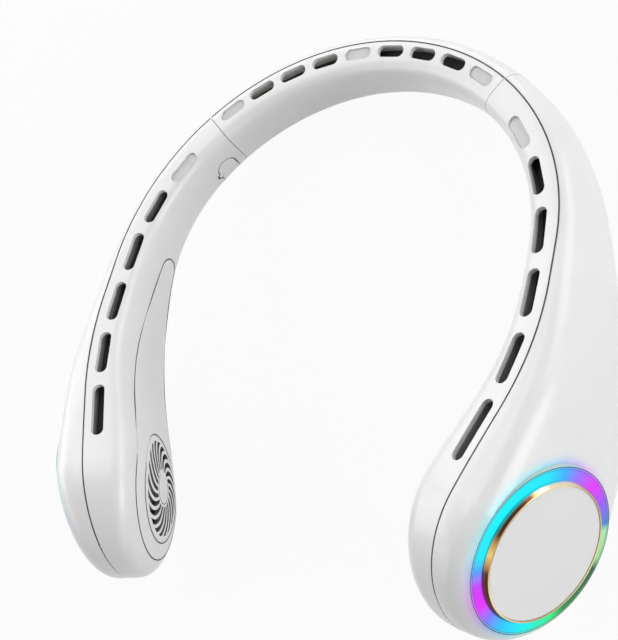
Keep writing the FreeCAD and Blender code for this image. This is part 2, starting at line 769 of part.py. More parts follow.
def flap(body):
    plate = body.common(PORT.place(flap_prism(0)))
    hinged = plate.fuse(PORT.place(flap_barrel(FLAP_BARREL, 0)))
    return hinged.cut(PORT.place(flap_barrel(FLAP_PIN_RADIUS + PIN_RUNNING, 0)))


def flap_pin():
    return PORT.place(flap_barrel(FLAP_PIN_RADIUS, FLAP_PIN_BITE))


def flap_opening():
    opening = flap_prism(FLAP_GAP).fuse(flap_barrel(FLAP_BARREL + FLAP_GAP, FLAP_GAP))
    return PORT.place(opening.fuse(flap_barrel(FLAP_PIN_RADIUS + FIT, FLAP_PIN_BITE + FIT)))


def button_rod(radius, start, end):
    return Part.makeCylinder(radius, end - start, Vector(start, -BUTTON_DROP, 0), N_AXIS)


def power_button(body):
    inside = PORT.face(BUTTON_DROP + BUTTON_FLANGE_RADIUS, -1, WALL)
    flange = inside + MOVE_GAP
    stem_end = BOARD_OUT - SWITCH_HEIGHT - BUTTON_TRAVEL - MOVE_GAP
    outside = -PORT.inner - OVERRUN
    face = body.common(PORT.place(button_rod(BUTTON_RADIUS, outside, 0)))
    core = button_rod(BUTTON_RADIUS, inside - WALL, flange + BUTTON_FLANGE)
    core = core.fuse([button_rod(BUTTON_FLANGE_RADIUS, flange, flange + BUTTON_FLANGE),
                      button_rod(BUTTON_STEM_RADIUS, flange, stem_end)])
    return face.fuse(PORT.place(core))


def button_hole():
    return PORT.place(button_rod(BUTTON_RADIUS + MOVE_GAP, -PORT.inner - OVERRUN, 0))


def control_board():
    half = SWITCH_SIZE / 2
    low = BOARD_OUT - SWITCH_HEIGHT
    switch = local_box(low, BOARD_OUT, -BUTTON_DROP - half, half - BUTTON_DROP, -half, half)
    return PORT.place(board().fuse(switch))


def knuckle(u_low, u_high, radius):
    return Part.makeCylinder(radius, u_high - u_low, Vector(PIVOT_OUT, u_low, 0), U_AXIS)


def hinge_pin():
    half = KNUCKLE_SPAN / 2
    return HINGE.place(knuckle(-half, half, HINGE_PIN_RADIUS))


def bracket(spans, side):
    # Base block fitted to the inside of the band, with webs out to the knuckles on the pivot
    angle = NAPE_HALF_ANGLE + math.degrees(BRACKET_FAR / ARCH_RADIUS) + OVERRUN_ANGLE
    inside = turned(Station(0).section(WALL + SEAT_GAP), angle)
    near, far = sorted((side * BRACKET_NEAR, side * BRACKET_FAR))
    half = NAPE_DEPTH / 2
    base = HINGE.place(local_box(BRACKET_IN, NAPE_OUTER, -half, half, near, far)).common(inside)
    webs = []
    holes = []
    for low, high in spans:
        web_low, web_high = sorted((0, side * (BRACKET_NEAR + WALL)))
        web_in, web_out = PIVOT_OUT - KNUCKLE_RADIUS, PIVOT_OUT + KNUCKLE_RADIUS / 2
        web = local_box(web_in, web_out, low, high, web_low, web_high)
        webs.append(HINGE.place(web.fuse(knuckle(low, high, KNUCKLE_RADIUS))))
        holes.append(HINGE.place(knuckle(low, high, HINGE_PIN_RADIUS + PIN_RUNNING)))
    return base.fuse(webs).cut(holes)


def nape_bracket():
    return bracket([(-NAPE_KNUCKLE / 2, NAPE_KNUCKLE / 2)], -1)


def arm_bracket():
    start = NAPE_KNUCKLE / 2 + MOVE_GAP
    return bracket([(start, KNUCKLE_SPAN / 2), (-KNUCKLE_SPAN / 2, -start)], 1)


def own_side(points, lean):
    # Points of a section on the side of the outer seam that belongs to this lean
    return [(n, u) for n, u in points if (n - SEAM_OUT) * lean >= 0]


def sample_points():
    # Points over the nape's middle section, the right arm and its pod, for the resting pose
    middle = Station(0)
    nape = [middle.at(n, u) for sign in (1, -1) for n, u in middle.half_points(0, sign)]
    arm = []
    for i in range(REST_SAMPLES + 1):
        turn = math.pi * i / REST_SAMPLES
        for lean in (-1, 1):
            station = Station(mix(HINGE_S, POD_S, i / REST_SAMPLES), lean)
            pod = Station(POD_S, lean)
            for sign in (1, -1):
                arm += [station.at(n, u) for n, u in own_side(station.half_points(0, sign), lean)]
            end = own_side(pod.half_points(0, 1), lean)
            arm += [pod.at(n, u * math.cos(turn), u * math.sin(turn)) for n, u in end]
    return nape, arm


def tilted(points, angle):
    turn = math.radians(angle)
    c, s = math.cos(turn), math.sin(turn)
    return [Vector(p.x, p.y * c + p.z * s, p.z * c - p.y * s) for p in points]


def rest_frame():
    # Tilt at which the nape and both pods touch the table, then the shift to the base's centre
    nape, arm = sample_points()
    low, high = 0.0, STEEPEST_REST
    for _ in range(REST_ROUNDS):
        angle = (low + high) / 2
        nape_low = min(p.z for p in tilted(nape, angle))
        arm_low = min(p.z for p in tilted(arm, angle))
        low, high = (angle, high) if nape_low > arm_low else (low, angle)
    lying = tilted(nape + arm, angle)
    middle = (max(p.y for p in lying) + min(p.y for p in lying)) / 2
    frame = Matrix()
    frame.rotateX(math.radians(-angle))
    frame.move(Vector(0, -middle, -min(p.z for p in lying)))
    return frame


def pod_pieces(frame_panel):
    pieces = {
        "intake_grille": grille(frame_panel),
        "inner_cover": frame_panel.cut(POD_IN.place(rod(GRILLE_RADIUS + SEAM_GAP, -REACH, 0))),
    }
    for name, maker in {
        "light_ring": light_ring,
        "trim_ring": trim_ring,
        "end_cap": end_cap,
        "light_board": light_board,
    }.items():
        pieces[name] = POD_OUT.place(maker())
    makers = {
        "fan_housing": fan_housing,
        "plate_screws": plate_screws,
        "motor_bearing": bearing,
        "motor_stator": stator,
        "motor_coils": coils,
        "motor_shaft": shaft,
        "motor_magnet": magnet_ring,
        "impeller": impeller,
    }
    for name, maker in makers.items():
        pieces[name] = POD.place(maker())
    return pieces


def build():
    parts = {}
    parts["nape_frame"], parts["nape_cover"] = nape_shells()
    outer, frame, cover, panel = arm_shells()
    pieces = pod_pieces(panel)
    pieces["outer_cover"] = cover_with_seat(cover, outer)
    pieces["battery"] = battery()
    pieces["hinge_pin"] = hinge_pin()
    pieces["nape_bracket"] = nape_bracket()
    pieces["arm_bracket"] = arm_bracket()
    for name, shape in pieces.items():
        parts["right_" + name] = shape
        parts["left_" + name] = mirrored(shape)
    parts["right_arm_frame"] = frame.cut(button_hole())
    parts["power_button"] = power_button(frame)
    parts["control_board"] = control_board()
    left = {
        "left_arm_frame": frame.cut(flap_opening()),
        "charge_flap": flap(frame),
        "flap_pin": flap_pin(),
        "charge_socket": socket(),
        "charge_board": PORT.place(board()),
    }
    for name, shape in left.items():
        parts[name] = mirrored(shape)
    return parts


def main():
    rest = rest_frame()
    for name, shape in build().items():
        shape.transformed(rest).exportStep("parts/" + name + ".step")


main()
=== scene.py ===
import bpy
import math
from mathutils import Matrix, Vector


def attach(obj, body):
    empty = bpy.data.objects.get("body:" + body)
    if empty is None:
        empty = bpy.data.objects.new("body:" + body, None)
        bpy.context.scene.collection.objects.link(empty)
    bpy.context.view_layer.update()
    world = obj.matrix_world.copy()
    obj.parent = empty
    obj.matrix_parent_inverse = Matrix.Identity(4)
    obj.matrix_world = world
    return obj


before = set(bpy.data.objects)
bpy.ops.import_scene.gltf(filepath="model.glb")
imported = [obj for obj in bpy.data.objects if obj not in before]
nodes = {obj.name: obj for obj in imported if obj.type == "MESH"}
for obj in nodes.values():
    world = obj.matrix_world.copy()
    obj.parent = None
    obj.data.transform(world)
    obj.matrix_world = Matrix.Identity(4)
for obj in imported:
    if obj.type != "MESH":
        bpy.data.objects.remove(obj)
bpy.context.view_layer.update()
print("neck fan: frame loaded with", len(nodes), "nodes")

scene = bpy.context.scene
scene.view_settings.view_transform = "Standard"
sides = (("right", 1), ("left", -1))            # each arm, and the sign of X on its side

# camera, as the photograph was taken
viewpoint = {
    "place": (0.186117, -0.0745682, 0.3277436),
    "turn": (14.69443, 31.11782, 7.39404),      # degrees about X, Y, Z
    "lens": 58.78,
    "nearest": 0.01,
}
lensData = bpy.data.cameras.new("photoCamera")
lensData.lens = viewpoint["lens"]
lensData.clip_start = viewpoint["nearest"]
photoCamera = bpy.data.objects.new("photoCamera", lensData)
photoCamera.location = viewpoint["place"]
photoCamera.rotation_euler = [math.radians(a) for a in viewpoint["turn"]]
scene.collection.objects.link(photoCamera)
scene.camera = photoCamera
print("camera set")

# how a screen turns its numbers into light
screenCurve = {"full": 255, "knee": 0.04045, "slope": 12.92, "offset": 0.055, "power": 2.4}


def linear(r, g, b):
    # a colour as it is seen on a screen, turned into light values
    def one(c):
        c = c / screenCurve["full"]
        if c <= screenCurve["knee"]:
            return c / screenCurve["slope"]
        return ((c + screenCurve["offset"]) / (1 + screenCurve["offset"])) ** screenCurve["power"]
    return (one(r), one(g), one(b), 1.0)


def grey(value):
    return (value, value, value, 1.0)


black = grey(0.0)


class Wire:
    # a socket that can be used in sums; each sum adds its Math node
    def __init__(self, finish, socket):
        self.finish = finish
        self.socket = socket

    def maths(self, operation, *values):
        return self.finish.add("ShaderNodeMath", {"operation": operation}, dict(enumerate(values)))

    def __add__(self, other):
        return self.maths("ADD", self, other)

    def __radd__(self, other):
        return self.maths("ADD", other, self)

    def __sub__(self, other):
        return self.maths("SUBTRACT", self, other)

    def __rsub__(self, other):
        return self.maths("SUBTRACT", other, self)

    def __mul__(self, other):
        return self.maths("MULTIPLY", self, other)

    def __rmul__(self, other):
        return self.maths("MULTIPLY", other, self)

    def __truediv__(self, other):
        return self.maths("DIVIDE", self, other)

    def __rtruediv__(self, other):
        return self.maths("DIVIDE", other, self)

    def __pow__(self, other):
        return self.maths("POWER", self, other)

    def __rpow__(self, other):
        return self.maths("POWER", other, self)

    def __abs__(self):
        return self.maths("ABSOLUTE", self)

    def sine(self):
        return self.maths("SINE", self)

    def between(self, low, high):
        # 0 below low, 1 above high, smooth in between
        settings = {"interpolation_type": "SMOOTHSTEP"}
        return self.finish.add("ShaderNodeMapRange", settings, {0: self, 1: low, 2: high, 3: 0.0, 4: 1.0})


class Finish:
    # one material, or the sky, and the nodes that make it
    def __init__(self, owner):
        self.owner = owner
        owner.use_nodes = True
        self.tree = owner.node_tree
        self.tree.nodes.clear()

    def add(self, kind, settings=None, sockets=None, result=0):
        node = self.tree.nodes.new(kind)
        for key, value in (settings or {}).items():
            if key == "stops":
                self.setStops(node.color_ramp, value)
            else:
                setattr(node, key, value)
        for key, value in (sockets or {}).items():
            if value is not None:
                self.feed(node.inputs[key], value)
        return Wire(self, node.outputs[result]) if node.outputs else None

    def feed(self, socket, value):
        if isinstance(value, Wire):
            self.tree.links.new(value.socket, socket)
        else:
            socket.default_value = value

    def setStops(self, ramp, stops):
        while len(ramp.elements) < len(stops):
            ramp.elements.new(0.5)
        for element, (place, colour) in zip(ramp.elements, stops):
            element.position = place
            element.color = colour

    def show(self, shader, kind="ShaderNodeOutputMaterial"):
        self.add(kind, None, {0: shader})
        return self.owner

    def surface(self, sockets):
        return self.show(self.add("ShaderNodeBsdfPrincipled", None, sockets))

    def seenWhite(self):
        # 1 where the eye, a mirror or a clear part looks, 0 for the light that falls on the part
        seen = 0.0
        for key in ("Is Camera Ray", "Is Glossy Ray", "Is Transmission Ray"):
            ray = self.add("ShaderNodeLightPath", None, None, key)
            seen = self.add("ShaderNodeMath", {"operation": "MAXIMUM"}, {0: seen, 1: ray})
        return seen

    def place(self):
        # a point of the object in the frame, in metres
        return self.add("ShaderNodeTexCoord", None, None, "Object")

    def vector(self, operation, a, b, result=0):
        return self.add("ShaderNodeVectorMath", {"operation": operation}, {0: a, 1: b}, result)

    def along(self, point, direction):
        return self.vector("DOT_PRODUCT", point, direction, 1)

    def grain(self, point, scale, detail=2.0, rough=0.5):
        sockets = {"Vector": point, "Scale": scale, "Detail": detail, "Roughness": rough}
        return self.add("ShaderNodeTexNoise", {"noise_dimensions": "3D"}, sockets)

    def ramp(self, share, stops):
        return self.add("ShaderNodeValToRGB", {"stops": stops}, {0: share})

    def blendColours(self, share, a, b):
        return self.add("ShaderNodeMix", {"data_type": "RGBA"}, {0: share, 6: a, 7: b}, 2)

    def bump(self, height, depth, strength):
        sockets = {"Strength": strength, "Distance": depth, "Height": height}
        return self.add("ShaderNodeBump", None, sockets)


def newFinish(name):
    return Finish(bpy.data.materials.new(name))


def mirroredPoint(p, side):
    return Vector((p[0] * side, p[1], p[2]))


# the pod's outer face: centre of the ring, its upward and forward directions, and its outward axis
podFace = {
    "centre": (0.0863104, -0.0760079, 0.0365894),
    "up": (-0.226602, 0.288530, 0.930270),
    "forward": (-0.450841, -0.877705, 0.162408),
    "out": (0.863362, -0.382602, 0.328970),
    "ringRadius": 0.0261,
}


def ringPlace(finish, point, side):
    # share of a turn from the pod's upward direction, radius and depth outward
    offset = finish.vector("SUBTRACT", point, mirroredPoint(podFace["centre"], side))
    up = finish.along(offset, mirroredPoint(podFace["up"], side))
    forward = finish.along(offset, mirroredPoint(podFace["forward"], side))
    turn = forward.maths("ARCTAN2", forward, up) / math.tau
    share = turn.maths("WRAP", turn, 1.0, 0.0)
    radius = (up * up + forward * forward) ** 0.5
    depth = finish.along(offset, mirroredPoint(podFace["out"], side))
    return share, radius, depth


# colours round the light ring, as a share of a turn from the upward direction
ringLight = {
    "turnColours": [
        (0.00, (0, 238, 250)), (0.075, (20, 225, 255)), (0.105, (84, 150, 255)), (0.135, (196, 60, 255)),
        (0.185, (226, 42, 255)), (0.225, (120, 120, 255)), (0.265, (40, 190, 255)), (0.33, (0, 235, 235)),
        (0.40, (50, 235, 130)), (0.435, (50, 140, 80)), (0.53, (48, 96, 62)), (0.55, (150, 215, 140)),
        (0.61, (165, 225, 170)), (0.625, (70, 130, 205)), (0.675, (150, 90, 245)), (0.73, (222, 52, 255)),
        (0.785, (150, 110, 255)), (0.82, (60, 165, 255)), (0.87, (20, 225, 250)), (1.00, (0, 238, 250)),
    ],
    "glow": 0.92,
    "lip": (0.02530, 0.02545),              # radii over which the diffuser turns into a paler lip
    "lipShare": 0.35,
    "lipColour": (0.42, 0.62, 0.56, 1.0),
    "lines": [(0.02530, 0.00022, 0.55), (0.02588, 0.00030, 0.85)],      # radius, width, darkness
    "lineSpan": (0.35, 0.75),               # where a line begins and ends to fade, in widths
    "wall": (0.02598, 0.02606),             # radii over which the lip turns into the unlit side wall
    "wallColour": (0.56, 0.70, 0.68, 1.0),
    "unlit": grey(0.02),
    "unlitShare": 0.85,
    "roughness": 0.22,
    "glossSwing": 0.08,
    "shine": 0.04,
    "grainScale": 1800.0,
    "grainDepth": 0.00003,
    "grainStrength": 0.3,
}


def ringColour(finish, share):
    return finish.ramp(share, [(place, linear(*colour)) for place, colour in ringLight["turnColours"]])


def thinLine(value, middle, width):
    # 1 on a line round a value, 0 away from it
    low, high = ringLight["lineSpan"]
    return 1.0 - abs(value - middle).between(width * low, width * high)


def litRing(name, side):
    finish = newFinish(name)
    point = finish.place()
    share, radius = ringPlace(finish, point, side)[:2]
    colour = ringColour(finish, share)
    fine = finish.grain(point, ringLight["grainScale"])
    pale = finish.blendColours(ringLight["lipShare"], colour, ringLight["lipColour"])
    lit = finish.blendColours(radius.between(*ringLight["lip"]), colour, pale)
    lines = sum(thinLine(radius, middle, width) * dark for middle, width, dark in ringLight["lines"])
    lit = finish.blendColours(lines, lit, black)
    wall = radius.between(*ringLight["wall"])
    lit = finish.blendColours(wall, lit, black)
    unlit = finish.blendColours(ringLight["unlitShare"], colour, ringLight["unlit"])
    return finish.surface({
        "Base Color": finish.blendColours(wall, unlit, ringLight["wallColour"]),
        "Roughness": ringLight["roughness"] + ringLight["glossSwing"] * fine,
        "Normal": finish.bump(fine, ringLight["grainDepth"], ringLight["grainStrength"]),
        "Emission Color": lit,
        "Emission Strength": ringLight["glow"],
        "Specular IOR Level": ringLight["shine"],
    })


grainMiddle = 0.5       # what a grain swings about

# satin white plastic of the shells, and the ring's light painted on the shell round it
whitePlastic = {
    "tone": grey(0.800),
    "shade": grey(0.775),
    "toneSpan": (0.35, 0.65),
    "roughness": 0.34,
    "slowGloss": 0.10,
    "fineGloss": 0.06,
    "coat": 0.30,
    "coatRoughness": 0.16,
    "refraction": 1.47,
    "slowGrain": (55.0, 3.0, 0.55),         # scale, detail, roughness
    "grainScale": 2600.0,
    "grainDepth": 0.00004,
    "grainStrength": 0.35,
    "haloInset": 0.001,
    "haloReach": 0.0043,
    "haloDepth": (-0.012, -0.001),
    "haloTint": 0.66,
    "haloGlow": 0.07,
}


def shellParts(finish, point):
    # sockets that all shells share, and the fine grain
    fine = finish.grain(point, whitePlastic["grainScale"])
    slow = finish.grain(point, *whitePlastic["slowGrain"])
    tones = slow.between(*whitePlastic["toneSpan"])
    parts = {
        "Base Color": finish.blendColours(tones, whitePlastic["shade"], whitePlastic["tone"]),
        "Roughness": whitePlastic["roughness"] + whitePlastic["slowGloss"] * (slow - grainMiddle),
        "Normal": finish.bump(fine, whitePlastic["grainDepth"], whitePlastic["grainStrength"]),
        "Coat Weight": whitePlastic["coat"],
        "Coat Roughness": whitePlastic["coatRoughness"],
        "IOR": whitePlastic["refraction"],
    }
    return parts, fine


def whiteParts(finish, point):
    parts, fine = shellParts(finish, point)
    parts["Roughness"] += whitePlastic["fineGloss"] * (fine - grainMiddle)
    return parts


def whiteShell(name):
    finish = newFinish(name)
    return finish.surface(whiteParts(finish, finish.place()))


def glowShell(name, side):
    # painted glow: the ring's light, as it would shine through the shell round it, is painted into the
    # shell's colour and emission
    finish = newFinish(name)
    point = finish.place()
    parts = whiteParts(finish, point)
    share, radius, depth = ringPlace(finish, point, side)
    edge = podFace["ringRadius"]
    near = 1.0 - radius.between(edge - whitePlastic["haloInset"], edge + whitePlastic["haloReach"])
    halo = near * near * depth.between(*whitePlastic["haloDepth"])
    light = ringColour(finish, share)
    # painted glow of the ring's light in the shell's colour and emission
    parts["Base Color"] = finish.blendColours(halo * whitePlastic["haloTint"], parts["Base Color"], light)
    parts["Emission Color"] = finish.blendColours(halo, black, light)
    parts["Emission Strength"] = whitePlastic["haloGlow"]
    return finish.surface(parts)


# inner face of the pod: the way the grille's face looks, and painted shade on its slot walls
grilleFace = {
    "axis": (-0.913801, 0.144235, -0.379689),
    "middle": (0.0711086, -0.0705747, 0.0306395),
    "turned": (0.55, 0.80),                 # turned further away than the first is slot wall
    "slotEnds": (0.0176, 0.017952),
    "dark": (0.15, 0.15, 0.155, 1.0),
    "sunkGloss": 0.3,
}


def grilleShell(name, side):
    finish = newFinish(name)
    point = finish.place()
    parts = shellParts(finish, point)[0]
    axis = mirroredPoint(grilleFace["axis"], side)
    offset = finish.vector("SUBTRACT", point, mirroredPoint(grilleFace["middle"], side))
    radius = finish.vector("LENGTH", finish.vector("CROSS_PRODUCT", offset, axis), None, 1)
    facing = finish.along(finish.add("ShaderNodeTexCoord", None, None, "Normal"), axis)
    inSlots = 1.0 - radius.between(*grilleFace["slotEnds"])
    # painted shade: slot walls turned away from the axis are darkened
    slotShade = (1.0 - facing.between(*grilleFace["turned"])) * inSlots
    parts["Base Color"] = finish.blendColours(slotShade, parts["Base Color"], grilleFace["dark"])
    parts["Roughness"] += grilleFace["sunkGloss"] * slotShade
    parts["Coat Weight"] = whitePlastic["coat"] * (1.0 - slotShade)
    return finish.surface(parts)


# polished gold with painted reflections: dark and bright stretches round the sloping edge are painted
# glints, and a bright narrow lip has painted highlight and shade
goldWithPaintedGlints = {
    "turnColours": [
        (0.00, (70, 38, 24)), (0.022, (92, 52, 30)), (0.042, (196, 148, 76)), (0.066, (240, 204, 124)),
        (0.090, (190, 140, 76)), (0.108, (92, 52, 34)), (0.21, (74, 42, 30)), (0.28, (128, 96, 72)),
        (0.36, (196, 178, 146)), (0.47, (150, 136, 108)), (0.60, (96, 92, 66)), (0.70, (176, 160, 126)),
        (0.78, (226, 212, 186)), (0.88, (232, 222, 196)), (0.905, (200, 160, 104)), (0.92, (96, 58, 34)),
        (1.00, (70, 38, 24)),
    ],
    # painted reflection: how much of the lit ring's colour is painted glowing on the low part of the
    # slope, round the turn
    "mirrored": [
        (0.00, 0.55), (0.03, 0.35), (0.10, 0.15), (0.30, 0.30),
        (0.70, 0.80), (0.90, 1.00), (0.94, 0.70), (1.00, 0.55),
    ],
    "mirrorDepth": (0.00035, 0.00115),
    "mirrorGlow": 0.8,
    "lip": (240, 222, 180),
    "lipPaintedShade": (140, 112, 76),
    "lipDepth": (0.00165, 0.00178),
    "lipWaves": 3,
    "lipStart": 0.8,                        # radians
    "lipSwing": 0.3,
    "roughness": 0.20,
    "glossSwing": 0.10,
    "grainScale": 3200.0,
    "grainDepth": 0.00002,
    "grainStrength": 0.2,
}


def goldRing(name, side):
    finish = newFinish(name)
    point = finish.place()
    share, depth = ringPlace(finish, point, side)[::2]
    # painted reflections: dark and bright glints round the slope
    slope = finish.ramp(share, [(place, linear(*colour)) for place, colour in goldWithPaintedGlints["turnColours"]])
    # painted highlight and shade along the lip, in waves round the turn
    wave = (share * (goldWithPaintedGlints["lipWaves"] * math.tau) + goldWithPaintedGlints["lipStart"]).sine()
    lipShadeShare = (wave + 1.0) * goldWithPaintedGlints["lipSwing"]
    lip = finish.blendColours(lipShadeShare, linear(*goldWithPaintedGlints["lip"]), linear(*goldWithPaintedGlints["lipPaintedShade"]))
    gold = finish.blendColours(depth.between(*goldWithPaintedGlints["lipDepth"]), slope, lip)
    amount = finish.ramp(share, [(place, grey(value)) for place, value in goldWithPaintedGlints["mirrored"]])
    # painted reflection of the lit ring, glowing on the low part of the slope
    mirrored = (1.0 - depth.between(*goldWithPaintedGlints["mirrorDepth"])) * amount
    fine = finish.grain(point, goldWithPaintedGlints["grainScale"])
    return finish.surface({
        "Base Color": finish.blendColours(mirrored, gold, black),
        "Metallic": 1.0,
        "Roughness": goldWithPaintedGlints["roughness"] + goldWithPaintedGlints["glossSwing"] * (fine - grainMiddle),
        "Normal": finish.bump(fine, goldWithPaintedGlints["grainDepth"], goldWithPaintedGlints["grainStrength"]),
        "Emission Color": finish.blendColours(mirrored, black, ringColour(finish, share)),
        "Emission Strength": goldWithPaintedGlints["mirrorGlow"],
    })


# pale end cap with faint turned rings
endCap = {
    "tone": grey(0.795),
    "shade": grey(0.770),
    "ringPitch": 16000.0,                   # radians to a metre of radius
    "ringHeight": 0.2,
    "ringGloss": 0.03,
    "fineGloss": 0.05,
    "roughness": 0.40,
    "coat": 0.15,
    "coatRoughness": 0.2,
    "grainScale": 3000.0,
    "grainDepth": 0.00002,
    "grainStrength": 0.25,
}


def paleCap(name, side):
    finish = newFinish(name)
    point = finish.place()
    fine = finish.grain(point, endCap["grainScale"])
    rings = (ringPlace(finish, point, side)[1] * endCap["ringPitch"]).sine()
    rough = endCap["roughness"] + endCap["ringGloss"] * rings
    height = rings * endCap["ringHeight"] + fine
    return finish.surface({
        "Base Color": finish.blendColours(fine, endCap["shade"], endCap["tone"]),
        "Roughness": rough + endCap["fineGloss"] * (fine - grainMiddle),
        "Normal": finish.bump(height, endCap["grainDepth"], endCap["grainStrength"]),
        "Coat Weight": endCap["coat"],
        "Coat Roughness": endCap["coatRoughness"],
    })


# moulded or machined surfaces: two tones, uneven gloss and a fine grain
plainLook = {
    "slowTimes": 16,
    "slowGrain": (3.0, 0.6),                # detail, roughness
    "toneSpan": (0.3, 0.7),
    "slowGloss": 0.12,
    "fineGloss": 0.06,
    "grainDepth": 0.00004,
    "grainStrength": 0.4,
}


def plainGrain(name, light, dark, roughness, scale, metallic=0.0, depth=plainLook["grainDepth"]):
    finish = newFinish(name)
    point = finish.place()
    fine = finish.grain(point, scale)
    slow = finish.grain(point, scale / plainLook["slowTimes"], *plainLook["slowGrain"])
    rough = roughness + plainLook["slowGloss"] * (slow - grainMiddle)
    return finish.surface({
        "Base Color": finish.blendColours(slow.between(*plainLook["toneSpan"]), dark, light),
        "Metallic": metallic,
        "Roughness": rough + plainLook["fineGloss"] * (fine - grainMiddle),
        "Normal": finish.bump(fine, depth, plainLook["grainStrength"]),
    })


circuit = {
    "green": (0.012, 0.085, 0.035, 1.0),
    "paleGreen": (0.020, 0.120, 0.050, 1.0),
    "trace": (0.10, 0.30, 0.10, 1.0),
    "traceShare": 0.6,
    "cellScale": 520.0,
    "traceStart": (0.30, 0.34),
    "traceEnd": (0.40, 0.44),
    "roughness": 0.42,
    "traceGloss": 0.12,
    "traceDepth": 0.00003,
    "traceStrength": 0.4,
    "grainScale": 1600.0,
}


def circuitBoard(name):
    finish = newFinish(name)
    point = finish.place()
    sockets = {"Vector": point, "Scale": circuit["cellScale"]}
    cells = finish.add("ShaderNodeTexVoronoi", {"distance": "MANHATTAN"}, sockets, "Distance")
    traces = cells.between(*circuit["traceStart"]) * (1.0 - cells.between(*circuit["traceEnd"]))
    fine = finish.grain(point, circuit["grainScale"])
    green = finish.blendColours(fine, circuit["green"], circuit["paleGreen"])
    return finish.surface({
        "Base Color": finish.blendColours(traces * circuit["traceShare"], green, circuit["trace"]),
        "Roughness": circuit["roughness"] - circuit["traceGloss"] * traces,
        "Normal": finish.bump(traces, circuit["traceDepth"], circuit["traceStrength"]),
    })


# copper wire, darker in the grooves between the turns: painted shade
winding = {
    "wire": 0.0004,
    "light": (0.72, 0.33, 0.15, 1.0),
    "dark": (0.36, 0.13, 0.05, 1.0),
    "metallic": 0.9,
    "roughness": 0.35,
    "glossSwing": 0.05,
    "wireDepth": 0.00008,
    "wireStrength": 0.6,
}


def woundCopper(name, side):
    finish = newFinish(name)
    depth = ringPlace(finish, finish.place(), side)[2]
    turns = (depth * (math.tau / winding["wire"])).sine()
    return finish.surface({
        # painted shade: dark where the bump has its grooves
        "Base Color": finish.blendColours((turns + 1.0) / 2, winding["dark"], winding["light"]),
        "Metallic": winding["metallic"],
        "Roughness": winding["roughness"] - winding["glossSwing"] * turns,
        "Normal": finish.bump(turns, winding["wireDepth"], winding["wireStrength"]),
    })


# plain finishes: light tone, dark tone, roughness, grain scale, metallic
plainFinishes = {
    "steelPlain": ((0.62, 0.62, 0.63, 1.0), (0.48, 0.48, 0.50, 1.0), 0.34, 2200.0, 1.0),
    "bronzeSintered": ((0.58, 0.38, 0.18, 1.0), (0.42, 0.26, 0.12, 1.0), 0.45, 3000.0, 1.0),
    "magnetFerrite": ((0.075, 0.075, 0.08, 1.0), (0.045, 0.045, 0.05, 1.0), 0.55, 2500.0),
    "fanPlastic": ((0.050, 0.050, 0.054, 1.0), (0.030, 0.030, 0.033, 1.0), 0.45, 1800.0),
    "cellWrap": ((0.045, 0.11, 0.26, 1.0), (0.030, 0.08, 0.20, 1.0), 0.30, 1200.0),
}
made = {name: plainGrain(name, *look) for name, look in plainFinishes.items()}
made["boardGreen"] = circuitBoard("boardGreen")
made["shellWhite"] = whiteShell("shellWhite")

# which finish each node takes; the arms' nodes have left_ or right_ before these names
singleNodes = {
    "shellWhite": ["nape_frame", "nape_cover", "charge_flap", "power_button"],
    "boardGreen": ["control_board", "charge_board"],
    "steelPlain": ["charge_socket", "flap_pin"],
}
armNodes = {
    "shellWhite": ["arm_frame", "inner_cover"],
    "steelPlain": [
        "plate_screws", "motor_stator", "motor_shaft", "hinge_pin", "nape_bracket", "arm_bracket",
    ],
    "boardGreen": ["light_board"],
    "fanPlastic": ["fan_housing", "impeller"],
    "bronzeSintered": ["motor_bearing"],
    "magnetFerrite": ["motor_magnet"],
    "cellWrap": ["battery"],
}
nodeFinishes = {node: made[name] for name, group in singleNodes.items() for node in group}
for sideName, side in sides:
    arm = sideName + "_"
    for name, group in armNodes.items():
        for node in group:
            nodeFinishes[arm + node] = made[name]
    nodeFinishes[arm + "intake_grille"] = grilleShell(arm + "grilleWhite", side)
    nodeFinishes[arm + "outer_cover"] = glowShell(arm + "shellGlow", side)
    nodeFinishes[arm + "light_ring"] = litRing(arm + "litRing", side)
    nodeFinishes[arm + "trim_ring"] = goldRing(arm + "goldRing", side)
    nodeFinishes[arm + "end_cap"] = paleCap(arm + "paleCap", side)
    nodeFinishes[arm + "motor_coils"] = woundCopper(arm + "woundCopper", side)
for node, material in nodeFinishes.items():
    mesh = nodes[node].data
    mesh.materials.clear()
    mesh.materials.append(material)
print("finishes given to", len(nodeFinishes), "nodes")

# the band's measures, as the shells have them, for what is fitted to them
bandLine = {
    "archRadius": 0.081,
    "armRun": 0.014,
    "bendRadius": 0.110,
    "bendAngle": math.radians(20.5),
    "tail": 0.0264,
    "napeAngle": math.radians(44.4),
    "roll": math.radians(14.0),
    "podLean": math.radians(6.5),
    "podRoll": math.radians(6.0),
    "podRise": 0.0035,
    "seamOut": 0.005,
    "inner": (0.0075, 0.0116),              # at the nape and at the pod
    "outer": (0.0092, 0.0195),
    "half": (0.01175, 0.0315),
    "outerPower": (3.2, 4.6),
    "innerPower": 3.2,
    "innerEase": 2.3,
    "outerEase": 1.7,
    "depthEase": 1.5,
    "restTilt": math.radians(12.241436),
    "restShift": (0.0, 0.0136813, 0.0406635),
}
hingeLength = bandLine["archRadius"] * bandLine["napeAngle"]
bendStart = bandLine["archRadius"] * math.pi / 2 + bandLine["armRun"]
bendLength = bandLine["bendRadius"] * bandLine["bendAngle"]
podLength = bendStart + bendLength + bandLine["tail"]


def eased(share, power):
    lean = share ** power
    return lean * lean * (3 - 2 * lean)


def partWay(ends, share):
    # a value that lies a share of the way from the first end to the last
    return ends[0] + (ends[1] - ends[0]) * share


def spread(first, last, steps):
    return [first + (last - first) * i / steps for i in range(steps + 1)]


